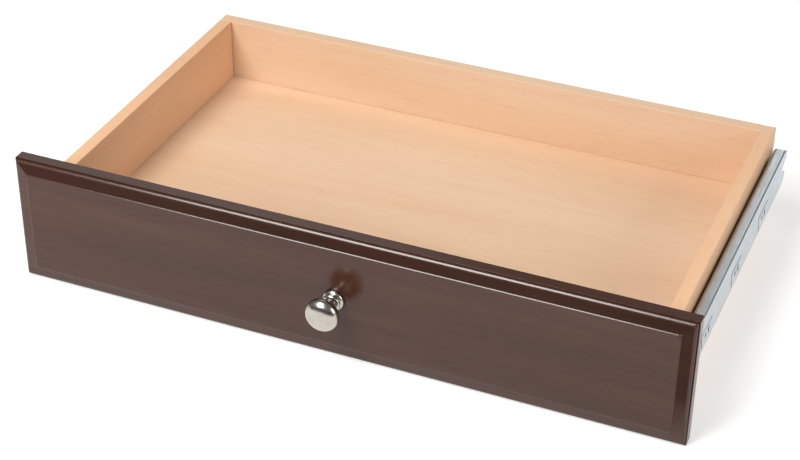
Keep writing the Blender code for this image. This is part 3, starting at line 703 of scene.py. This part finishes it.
def knob_profile(length, radius):
    """(radius, height) from the middle of the face down to the base and up into the screw's bore."""
    widest = length - HEAD_RISE
    head = []
    power = 2 / HEAD_FULLNESS
    for step in range(HEAD_STEPS + 1):
        angle = QUARTER * step / HEAD_STEPS
        out = radius * math.sin(angle) ** power
        head.append((out, widest + HEAD_RISE * max(math.cos(angle), 0) ** power))
    for step in range(1, HEAD_BACK_STEPS):
        angle = QUARTER * step / HEAD_BACK_STEPS
        out = NECK_RADIUS + (radius - NECK_RADIUS) * math.cos(angle)
        head.append((out, widest - HEAD_BACK * math.sin(angle)))
    neck = [head[-1], (0.0060, 0.0140), (0.0058, 0.0115), (0.0058, 0.0098), (0.0061, 0.0086)]
    bead = arc((0.0067, 0.0066), BEAD_RADIUS, 75, -75, 10)
    base = [(0.0072, 0.0046), (0.0087, 0.0039), (0.0096, 0.0027), (0.0097, 0.0012)]
    foot = [(0.0094, 0.0), (SCREW_SOCKET_RADIUS, 0.0)]
    foot += [(SCREW_SOCKET_RADIUS, SCREW_SOCKET_DEPTH), (0.0, SCREW_SOCKET_DEPTH)]
    return head + flowing(neck, 5)[1:] + bead + flowing(base, 4) + foot


def build_knob():
    """The knob, turned about its axis and laid with its face to the front."""
    low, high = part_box("knob")
    middle = (low + high) / 2
    profile = knob_profile(high.y - low.y, (high.x - low.x) / 2)
    place = Matrix.Translation((middle.x, high.y, middle.z)) @ Matrix.Rotation(QUARTER, 4, "X")
    mesh = smooth(turned("mushroom_knob", profile, KNOB_SEGMENTS), 40)
    finish = satin_nickel((middle.x, high.y, middle.z))
    add_piece("mushroom_knob", mesh, finish, "drawer", ["knob"], "satin_nickel", place)


def recess(top, size, depth):
    """A tapered cross recess in a head whose face is at height top."""
    arms = []
    for number in range(2):
        bm = bmesh.new()
        narrow = size * 0.20
        add_box(bm, (-size, -narrow, top - depth), (size, narrow, top + PAST))
        for corner in bm.verts:
            if corner.co.z < top:
                corner.co.x *= 0.55
                corner.co.y *= 0.75
        bmesh.ops.rotate(bm, cent=(0, 0, 0), matrix=Matrix.Rotation(QUARTER * number, 3, "Z"), verts=bm.verts)
        arms.append(to_mesh(bm, f"recess_arm_{number}"))
    return cut(arms[0], [arms[1]], "UNION")


def threaded(shank, start, end, pitch):
    """Profile points of a ridged shank, from height start down to height end."""
    points = []
    root = shank - THREAD_DEPTH
    height = start
    while height - pitch > end:
        points += [(root, height), (shank, height - pitch * 0.5), (root, height - pitch)]
        height -= pitch
    return points


def pan_screw(name, shank, length, head, head_height):
    """A pan-head screw about Z, with its head above height zero."""
    rim = head * 0.5
    crown = arc((head - rim, head_height - rim), rim, 78, 0, 8)
    profile = [(0, head_height), *crown, (head, 0.0), (shank, 0.0)]
    profile += threaded(shank, -0.0006, -length + shank, MACHINE_PITCH)
    profile += [(shank * 0.25, -length), (0, -length)]
    mesh = turned(name, profile, SCREW_SEGMENTS)
    return smooth(cut(mesh, [recess(head_height, head * RECESS_SHARE, head_height * 0.6)]))


def flat_screw(name, head, shank, length):
    """A countersunk wood screw about Z, its flat head at height zero."""
    profile = [(0, 0), (head - 0.0002, 0), (head, -0.0002), (shank, -0.0022)]
    profile += threaded(shank, -0.0030, -length + 0.004, WOOD_PITCH)
    profile += [(shank * 0.2, -length), (0, -length)]
    mesh = turned(name, profile, SCREW_SEGMENTS)
    return smooth(cut(mesh, [recess(0.0, head * RECESS_SHARE, WOOD_SCREW_RECESS)]))


def cam_lock(name, radius, depth):
    """A cam about Z: rim and cross at the face, an arrow notch, and the slot that catches the bolt."""
    profile = [(0, -CAM_FACE_DEPTH), (radius - 0.0014, -CAM_FACE_DEPTH), (radius - 0.0012, 0)]
    profile += [(radius - 0.0004, 0), (radius, -0.0004), (radius, -depth), (0, -depth)]
    slot = bmesh.new()
    add_box(slot, (-CAM_SLOT_HALF, -radius - PAST, -depth - PAST), (CAM_SLOT_HALF, 0.0018, -0.0022))
    arrow = bmesh.new()
    arrow_place = -radius + 0.0009
    add_rod(arrow, (0, arrow_place, -0.0005), (0, arrow_place, 0.001), CAM_ARROW_RADIUS, 3)
    cutters = [to_mesh(slot, "slot"), recess(-CAM_FACE_DEPTH, 0.0030, 0.0014), to_mesh(arrow, "arrow")]
    return smooth(cut(turned(name, profile, CAM_SEGMENTS), cutters))


def build_knob_screw(zinc):
    """The pan-head screw that holds the knob, driven from behind the front."""
    low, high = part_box("knob_screw")
    middle = (low + high) / 2
    seat = FRONT_HIGH.y + GAP
    head = (high.x - low.x) / 2
    screw = pan_screw("knob_fixing_screw", KNOB_SCREW_SHANK, seat - low.y, head, high.y - seat)
    place = Matrix.Translation((middle.x, seat, middle.z)) @ Matrix.Rotation(-QUARTER, 4, "X")
    add_piece("knob_fixing_screw", screw, zinc, "drawer", ["knob_screw"], "zinc_fitting", place)


def build_wood_screw(side, level, zinc):
    """A screw through the back panel into a side."""
    node = f"{side}_{level}_back_screw"
    low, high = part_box(node)
    middle = (low + high) / 2
    name = f"{side}_{level}_wood_screw"
    screw = flat_screw(name, (high.x - low.x) / 2, WOOD_SCREW_SHANK, high.y - low.y)
    place = Matrix.Translation((middle.x, high.y, middle.z)) @ Matrix.Rotation(-QUARTER, 4, "X")
    add_piece(name, screw, zinc, "drawer", [node], "zinc_fitting", place)


def build_cam(side, level, zinc):
    """A cam lock in the outer face of a side."""
    node = f"{side}_{level}_cam_lock"
    low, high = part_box(node)
    middle = (low + high) / 2
    name = f"{side}_{level}_cam"
    lock = cam_lock(name, (high.z - low.z) / 2, high.x - low.x)
    face = low.x if side == "left" else high.x
    turn = -QUARTER if side == "left" else QUARTER
    place = Matrix.Translation((face, middle.y, middle.z)) @ Matrix.Rotation(turn, 4, "Y")
    add_piece(name, lock, zinc, "drawer", [node], "zinc_fitting", place)


def build_box_fastenings(zinc):
    build_knob_screw(zinc)
    for side in ("left", "right"):
        for level in ("lower", "upper"):
            build_wood_screw(side, level, zinc)
            build_cam(side, level, zinc)


# Slides


def race_outline(web, half, curl):
    """Outer skin of a channel that opens towards the box, its flanges curled round a row of balls."""
    top = arc((web + RACE_BEND, half - RACE_BEND), RACE_BEND, 180, 90, 8)
    top += arc((curl, half - RACE_RADIUS), RACE_RADIUS, 90, 0, 14)
    return [(across, -up) for across, up in reversed(top)] + top


def cage_outline(web, half, tip):
    """Outer skin of a ball cage that opens towards the box, its flanges flat."""
    top = arc((web + CAGE_BEND, half - CAGE_BEND), CAGE_BEND, 180, 90, 6) + [(tip, half)]
    return [(across, -up) for across, up in reversed(top)] + top


def drawer_outline(half):
    """Outer skin of the member on the box, which opens towards the cabinet wall."""
    top = [(DRAWER_FLANGE_TIP, half)]
    top += arc((DRAWER_WEB - DRAWER_BEND, half - DRAWER_BEND), DRAWER_BEND, 90, 0, 8)
    return top + [(across, -up) for across, up in reversed(top)]


def trimmed_corner(length):
    """What comes off each rear corner of the cabinet member's web, past the end of its flanges."""
    start = length - FLANGE_CUT_BACK
    flat_up = WEB_END_HALF - WEB_END_CORNER
    corner = [(start, WEB_END_HALF)]
    corner += arc((length - WEB_END_CORNER, flat_up), WEB_END_CORNER, 90, 0, 8)
    corner += [(length + PAST, flat_up), (length + PAST, CLEAR_UP), (start, CLEAR_UP)]
    return corner


def rear_notch(length):
    """The flared notch in the rear end of the cabinet member's web."""
    mouth = length + PAST
    bottom = length - NOTCH_DEPTH
    flare = [(mouth, 0.0085), (length - 0.006, 0.0052), (bottom + 0.001, 0.0030), (bottom, 0.0012)]
    upper = flowing(flare, 4)
    return [(y, -up) for y, up in reversed(upper)] + upper


def lance_outline(start):
    """The slit round a lanced tab: a long straight run, then a slanted one from its front end."""
    return [
        (start + LANCE_LENGTH, LANCE_LOW),
        (start + LANCE_LENGTH, LANCE_LOW + LANCE_SLIT),
        (start + LANCE_SLIT, LANCE_LOW + LANCE_SLIT),
        (start + 0.0075, 0.0150),
        (start + 0.0058, 0.0155),
        (start - 0.0005, LANCE_LOW),
    ]


def oval(y, up, half_length, radius):
    """An oval with its long way up the web."""
    return arc((y, up + half_length), radius, 0, 180, 12) + arc((y, up - half_length), radius, 180, 360, 12)


def lozenge(y, half_length, half_height):
    """A long slot with pointed ends."""
    taper = half_height * 0.75
    front = y - half_length
    back = y + half_length
    return [
        (front, 0),
        (front + taper, -half_height),
        (back - taper, -half_height),
        (back, 0),
        (back - taper, half_height),
        (front + taper, half_height),
    ]


def cabinet_member(length, half, stop_hole):
    """The member on the cabinet wall, with its notch, trimmed end, stamped stations and holes."""
    member = folded_sheet("cabinet_channel", race_outline(0.0, half, CABINET_CURL), SHEET, length)
    trim = bmesh.new()
    inner, outer = FLANGE_SPAN
    add_box(trim, (inner, length - FLANGE_CUT_BACK, -CLEAR_UP), (outer, length + 0.01, CLEAR_UP))
    upper = trimmed_corner(length)
    lower = [(y, -up) for y, up in reversed(upper)]
    cutters = [to_mesh(trim, "flange_trim")]
    for name, outline in (("upper_corner", upper), ("lower_corner", lower), ("notch", rear_notch(length))):
        cutters.append(plate(name, outline, *FLAT_SPAN))
    rounds = [(FRONT_HOLE, 0.0), (stop_hole, 0.0)]
    for station in range(STATIONS):
        start = STATION_START + station * STATION_PITCH
        slot = oval(start + OVAL_HOLE_AFTER, STATION_HOLE_UP, STATION_OVAL_HALF, WEB_HOLE_RADIUS)
        cutters.append(plate(f"lance_{station}", lance_outline(start), *CABINET_WEB_SPAN))
        cutters.append(plate(f"oval_{station}", slot, *CABINET_WEB_SPAN))
        rounds.append((start + ROUND_HOLE_AFTER, STATION_HOLE_UP))
    cutters.append(rods("web_holes", rounds, *CABINET_WEB_SPAN, WEB_HOLE_RADIUS))
    return smooth(cut(member, cutters))


def intermediate_member(length, half):
    """The member between the two rows of balls, with its pointed slots."""
    outline = race_outline(INTERMEDIATE_WEB, half, INNER_ROW[0])
    member = folded_sheet("intermediate_channel", outline, SHEET, length)
    cutters = []
    for number, y in enumerate(INTERMEDIATE_SLOTS):
        slot = lozenge(y, *INTERMEDIATE_SLOT_HALVES)
        cutters.append(plate(f"slot_{number}", slot, *INTERMEDIATE_WEB_SPAN))
    return smooth(cut(member, cutters))


def drawer_member(length, half, holes):
    """The member on the box, with its screw and rivet holes and two oval slots."""
    member = folded_sheet("drawer_channel", drawer_outline(half), SHEET, length)
    cutters = [rods("screw_holes", [(y, 0.0) for y in holes], *DRAWER_WEB_SPAN, SCREW_HOLE_RADIUS)]
    for number, y in enumerate(DRAWER_SLOTS):
        slot = oval(y, 0.0, DRAWER_SLOT_HALF, DRAWER_SLOT_RADIUS)
        cutters.append(plate(f"slot_{number}", slot, *DRAWER_WEB_SPAN))
    return smooth(cut(member, cutters))


def cage(name, web, half, tip, length):
    """A light channel with a window in its web between each pair of balls and the next."""
    sheet = folded_sheet(name, cage_outline(web, half, tip), CAGE_SHEET, length)
    pitch = length / BALLS_PER_ROW
    cutters = []
    for number in range(1, BALLS_PER_ROW):
        corners = rounded_rectangle(WINDOW_HALF_LENGTH, half * 0.55, WINDOW_CORNER, 5)
        outline = [(pitch * number + ahead, up) for ahead, up in corners]
        cutters.append(plate(f"window_{number}", outline, web - 0.001, web + 0.0015))
    return cut(sheet, cutters)


def ball_places(length, row):
    """(across, y, up) of the balls in the upper and lower race."""
    pitch = length / BALLS_PER_ROW
    across, up = row
    return [(across, pitch * (number + 0.5), end) for number in range(BALLS_PER_ROW) for end in (-up, up)]


def balls(name, places, radius):
    """One mesh of balls."""
    bm = bmesh.new()
    for place in places:
        where = Matrix.Translation(place)
        bmesh.ops.create_uvsphere(bm, u_segments=28, v_segments=14, radius=radius, matrix=where)
    return to_mesh(bm, name)


def cage_with_pockets(name, web, half, tip, row, length):
    """A ball cage, with a pocket pressed in it for each ball."""
    pockets = balls(f"{name}_pockets", ball_places(length, row), BALL_RADIUS + POCKET_GAP)
    return smooth(cut(cage(name, web, half, tip, length), [pockets]))


def lever(thickness):
    """The release lever about its rivet: a ribbed finger tab in front and a hook behind."""
    tab = arc((LEVER_TAB, 0.0), LEVER_TAB_RADIUS, 90, 270, 12)
    belly = [(LEVER_TAB, -LEVER_TAB_RADIUS), (-0.020, -0.0020), (-0.008, -0.0030)]
    belly += [(0.004, -0.0033), (0.014, -0.0030)]
    hook = [(0.0195, -0.0025), (0.0200, -0.0010), (0.0170, 0.0010), (0.0168, 0.0036), (0.0130, 0.0036)]
    top = flowing([(0.0110, 0.0024), (0.003, 0.0033), (-0.008, 0.0028), (-0.020, 0.0018)], 4)
    half = thickness / 2
    body = plate("lever", tab + flowing(belly, 4)[1:] + hook + top, -half, half)
    body = cut(body, [rods("rivet_hole", [(0.0, 0.0)], *FLAT_SPAN, RIVET_RADIUS + GAP)])
    grooves = bmesh.new()
    for number in range(LEVER_RIBS):
        y = LEVER_TAB + LEVER_RIB_WIDTH + number * LEVER_RIB_PITCH
        for face in (-half, half):
            start = (face - LEVER_RIB_DEPTH, y, -0.003)
            add_box(grooves, start, (face + LEVER_RIB_DEPTH, y + LEVER_RIB_WIDTH, 0.003))
    return smooth(cut(body, [to_mesh(grooves, "ribs")]))


def rivet(length):
    """The lever's rivet about Z, its domed head above height zero."""
    profile = [(0, RIVET_HEAD), *arc((0.0020, -0.0004), 0.0012, 80, 20, 6), (0.0032, 0.0)]
    profile += [(RIVET_RADIUS, 0.0), (RIVET_RADIUS, -length), (0, -length)]
    return smooth(turned("rivet", profile, SCREW_SEGMENTS))


def rubber_stop(low, high):
    """The rear stop: an eased block with a stud through the web and three grooves in its face."""
    bm = bmesh.new()
    add_box(bm, low, high)
    block = eased(to_mesh(bm, "bumper"), STOP_EASING, 4)
    stud = rods("stud", [((low[1] + high[1]) / 2, 0.0)], *STOP_STUD_SPAN, STOP_STUD_RADIUS)
    grooves = bmesh.new()
    for up in STOP_GROOVES_UP:
        start = (high[0] - STOP_GROOVE_DEPTH, low[1] - 0.001, up - STOP_GROOVE_HALF)
        add_box(grooves, start, (high[0] + 0.001, high[1] + 0.001, up + STOP_GROOVE_HALF))
    return smooth(cut(cut(block, [stud], "UNION"), [to_mesh(grooves, "ribs")]))


def local_box(node, datum):
    """A node's box in its slide's own frame."""
    low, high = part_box(node)
    back = datum.inverted()
    ends = [back @ low, back @ high]
    return Vector(map(min, *ends)), Vector(map(max, *ends))


def slide_frame(side):
    """Two functions for one slide: one measures a node in the slide's own frame, one adds a piece made in it.

    The right slide's frame is the left one's turned half round.
    """
    low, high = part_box(f"{side}_cabinet_member")
    wall = low.x if side == "left" else high.x
    turn = 0.0 if side == "left" else math.pi
    datum = Matrix.Translation((wall, low.y, (low.z + high.z) / 2)) @ Matrix.Rotation(turn, 4, "Y")

    def extent(node):
        return local_box(f"{side}_{node}", datum)

    def add(name, mesh, finish, body, node, slot, place=Matrix.Identity(4)):
        nodes = [f"{side}_{node}"] if node else []
        add_piece(f"{side}_{name}", mesh, finish, body, nodes, slot, datum @ place)

    return extent, add


def build_cabinet_member(extent, add, zinc, rubber):
    low, high = extent("cabinet_member")
    stop_low, stop_high = extent("rear_bumper")
    stop_middle = (stop_low.y + stop_high.y) / 2
    member = cabinet_member(high.y - low.y, (high.z - low.z) / 2, stop_middle)
    add("cabinet_channel", member, zinc, "cabinet_members", "cabinet_member", "zinc_plated_steel")
    stop = rubber_stop((STOP_BACK, stop_low.y, stop_low.z), tuple(stop_high))
    add("rubber_stop", stop, rubber, "cabinet_members", "rear_bumper", "grey_bumper")


def build_intermediate_member(extent, add, zinc, body):
    low, high = extent("intermediate_member")
    member = intermediate_member(high.y - low.y, (high.z - low.z) / 2)
    place = Matrix.Translation((0, low.y, 0))
    add("intermediate_channel", member, zinc, body, "intermediate_member", "zinc_plated_steel", place)


def build_drawer_member(extent, add, zinc, steel):
    """The member on the box, and the three screws that hold it there."""
    pivot_low, pivot_high = extent("lever_rivet")
    screw_boxes = [extent(f"slide_screw_{number}") for number in (1, 2, 3)]
    screws = [(screw_low.y + screw_high.y) / 2 for screw_low, screw_high in screw_boxes]
    low, high = extent("drawer_member")
    holes = [y - low.y for y in (*screws, (pivot_low.y + pivot_high.y) / 2)]
    member = drawer_member(high.y - low.y, (high.z - low.z) / 2, holes)
    place = Matrix.Translation((0, low.y, 0))
    add("drawer_channel", member, zinc, "drawer", "drawer_member", "zinc_plated_steel", place)

    seat = DRAWER_WEB - SHEET - GAP
    for number, (y, (screw_low, screw_high)) in enumerate(zip(screws, screw_boxes), 1):
        name = f"fixing_screw_{number}"
        head = (screw_high.y - screw_low.y) / 2
        mesh = pan_screw(name, SLIDE_SCREW_SHANK, screw_high.x - seat, head, seat - screw_low.x)
        place = Matrix.Translation((seat, y, 0)) @ Matrix.Rotation(-QUARTER, 4, "Y")
        add(name, mesh, steel, "drawer", f"slide_screw_{number}", "zinc_plated_steel", place)


def build_cages(side, extent, add, steel, bright):
    """The outer and inner ball cages with their balls."""
    for row_name, row, web, half, tip in CAGES:
        low, high = extent(f"{row_name}_ball_retainer")
        place = Matrix.Translation((0, low.y, 0))
        length = high.y - low.y
        body = f"{side}_{row_name}_cage"
        mesh = cage_with_pockets(f"{row_name}_cage", web, half, tip, row, length)
        add(f"{row_name}_cage", mesh, steel, body, f"{row_name}_ball_retainer", "bright_steel", place)
        mesh = smooth(balls(f"{row_name}_balls", ball_places(length, row), BALL_RADIUS), 60)
        add(f"{row_name}_balls", mesh, bright, body, None, "bright_steel", place)


def build_lever(extent, add, plastic, bright, body):
    """The release lever and the rivet it turns on."""
    pivot_low, pivot_high = extent("lever_rivet")
    pivot = (pivot_low.y + pivot_high.y) / 2
    low, high = extent("release_lever")
    place = Matrix.Translation(((low.x + high.x) / 2, pivot, 0))
    add("lever", lever(high.x - low.x), plastic, body, "release_lever", "black_plastic", place)
    reach = pivot_high.x - pivot_low.x - RIVET_HEAD
    place = Matrix.Translation((pivot_low.x + RIVET_HEAD, pivot, 0)) @ Matrix.Rotation(-QUARTER, 4, "Y")
    add("rivet", rivet(reach), bright, "drawer", "lever_rivet", "bright_steel", place)


def build_slide(side, finishes):
    zinc, steel, bright, plastic, rubber = finishes
    extent, add = slide_frame(side)
    build_cabinet_member(extent, add, zinc, rubber)
    build_intermediate_member(extent, add, zinc, f"{side}_intermediate")
    build_drawer_member(extent, add, zinc, steel)
    build_cages(side, extent, add, steel, bright)
    build_lever(extent, add, plastic, bright, f"{side}_lever")


# Studio


def build_floor():
    """A pale floor that gives off some light, so that it comes out nearly white."""
    bm = bmesh.new()
    bmesh.ops.create_grid(bm, x_segments=1, y_segments=1, size=FLOOR_HALF)
    floor = bpy.data.objects.new("studio_floor", to_mesh(bm, "studio_floor"))
    floor.location = (0, 0, CAD_BOX[0].z - FLOOR_GAP)
    material, tree, shader = new_material("studio_floor_paint", roughness=0.7, emission_strength=FLOOR_GLOW)
    shader.inputs["Emission Color"].default_value = WHITE
    wire(tree, shader, base_color=ramp(tree, noise(tree, (3.0, 3.0, 3.0), 2.0), FLOOR_TONES))
    floor.data.materials.append(material)
    bpy.context.scene.collection.objects.link(floor)


def add_flag(name, low, high):
    """A thin black card that only glossy surfaces show, as a dark band."""
    bm = bmesh.new()
    add_box(bm, low, high)
    flag = bpy.data.objects.new(name, to_mesh(bm, name))
    material, tree, shader = new_material(f"{name}_cloth", roughness=0.9)
    weave = noise(tree, (400.0, 400.0, 400.0), 2.0)
    wire(tree, shader, base_color=ramp(tree, weave, CARD_TONES))
    flag.data.materials.append(material)
    flag.visible_camera = False
    flag.visible_diffuse = False
    flag.visible_shadow = False
    bpy.context.scene.collection.objects.link(flag)


def build_flags():
    """One low card in front, below the frame, and one behind the right slide."""
    front = FRONT_HIGH.y - 0.44
    add_flag("front_flag", (-0.7, front, 0.0), (1.0, front + CARD_THICKNESS, 0.20))
    back = CAD_BOX[1].y + 0.25
    add_flag("back_flag", (0.30, back, 0.0), (1.3, back + CARD_THICKNESS, 0.30))


def add_softbox(name, direction, distance, size, radiance, long_side=(0.0, 0.0, 1.0)):
    """A softbox that faces the drawer. Its power follows from how bright its face looks."""
    light = bpy.data.lights.new(name, "AREA")
    light.shape = "RECTANGLE"
    light.size, light.size_y = size
    light.energy = math.pi * size[0] * size[1] * radiance
    item = bpy.data.objects.new(name, light)
    back = Vector(direction).normalized()
    across = Vector(long_side).cross(back).normalized()
    item.location = back * distance + Vector((0, 0, LIGHTS_AIM_UP))
    item.rotation_euler = Matrix((across, back.cross(across), back)).transposed().to_euler()
    bpy.context.scene.collection.objects.link(item)


def build_lights():
    """A long bank over the front, two boxes behind, one on the right, and a dim sky."""
    key_long_side = (0.0, 0.77, 0.64)
    add_softbox("key_bank", (-0.26, -0.61, 0.74), 2.4, (1.05, 2.2), 10.4, key_long_side)
    add_softbox("back_left_softbox", (-0.50, 0.62, 0.60), 2.6, (1.4, 1.2), 0.7)
    add_softbox("right_softbox", (0.90, -0.15, 0.40), 3.0, (1.4, 1.4), 4.8)
    add_softbox("back_softbox", (0.02, 0.88, 0.47), 3.0, (0.6, 0.7), 2.4)
    world = bpy.data.worlds.new("studio")
    bpy.context.scene.world = world
    world.use_nodes = True
    sky = world.node_tree.nodes["Background"]
    sky.inputs["Color"].default_value = WHITE
    sky.inputs["Strength"].default_value = SKY_STRENGTH


def build_camera():
    """A long lens, above and to the right of the front."""
    lens = bpy.data.cameras.new("camera")
    lens.lens = 85.0
    lens.sensor_width = 36.0
    camera = bpy.data.objects.new("camera", lens)
    camera.location = (CAMERA_RIGHT, FRONT_HIGH.y - CAMERA_AHEAD, CAMERA_UP)
    camera.rotation_euler = [math.radians(angle) for angle in CAMERA_TURN]
    bpy.context.scene.collection.objects.link(camera)
    bpy.context.scene.camera = camera


def finish_kept_nodes(maple_across, maple_deep, zinc_fitting, dowel_wood):
    """Materials on the CAD nodes that no piece replaces."""
    finishes = {"back_panel": maple_across, "bottom_panel": maple_across}
    for side in ("left", "right"):
        finishes[f"{side}_side_panel"] = maple_deep
        finishes[f"{side}_front_dowel"] = dowel_wood
        finishes[f"{side}_lower_cam_bolt"] = zinc_fitting
        finishes[f"{side}_upper_cam_bolt"] = zinc_fitting
    for node, finish in finishes.items():
        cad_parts[node].material_slots[0].material = finish


# The routed band at the top and right is painted shade, a darker and duller copy of the foil, and it pales
# near the bottom as a painted reflection of the floor; the arcs at the top are glossier
painted_floor_reflection_heights = (CAD_BOX[0].z + 0.004, CAD_BOX[0].z + 0.050)
foil = dark_foil("espresso_foil", 0.41, 0.82)
painted_shade_band_foil = dark_foil("espresso_foil_painted_shade_band", 0.10, 0.52, painted_floor_reflection_heights)
arc_foil = dark_foil("espresso_foil_arc", 0.75, 0.84)
maple_across = maple_foil("maple_foil_across", 0)
maple_deep = maple_foil("maple_foil_deep", 1, (1.08, 0.96, 0.86))
zinc_sheet = plated_steel("zinc_plated_sheet", (0.60, 0.66, 0.70), 0.30, 0.42)
zinc_fitting = plated_steel("zinc_plated_fitting", (0.60, 0.62, 0.64), 0.28, 0.40)
cage_steel = plated_steel("pressed_cage_steel", (0.70, 0.70, 0.71), 0.22, 0.32)
ball_steel = polished_steel()
black_plastic = moulded("black_lever_plastic", (0.018, 0.018, 0.019), 0.38, 0.52)
grey_rubber = moulded("grey_stop_rubber", (0.075, 0.075, 0.078), 0.60, 0.75)
dowel_wood = beech()

finish_kept_nodes(maple_across, maple_deep, zinc_fitting, dowel_wood)
build_front(foil, painted_shade_band_foil, arc_foil)
build_knob()
build_box_fastenings(zinc_fitting)
for side in ("left", "right"):
    build_slide(side, (zinc_sheet, cage_steel, ball_steel, black_plastic, grey_rubber))
build_floor()
build_flags()
build_lights()
build_camera()
bpy.context.scene.view_settings.view_transform = "Standard"

bpy.context.view_layer.update()
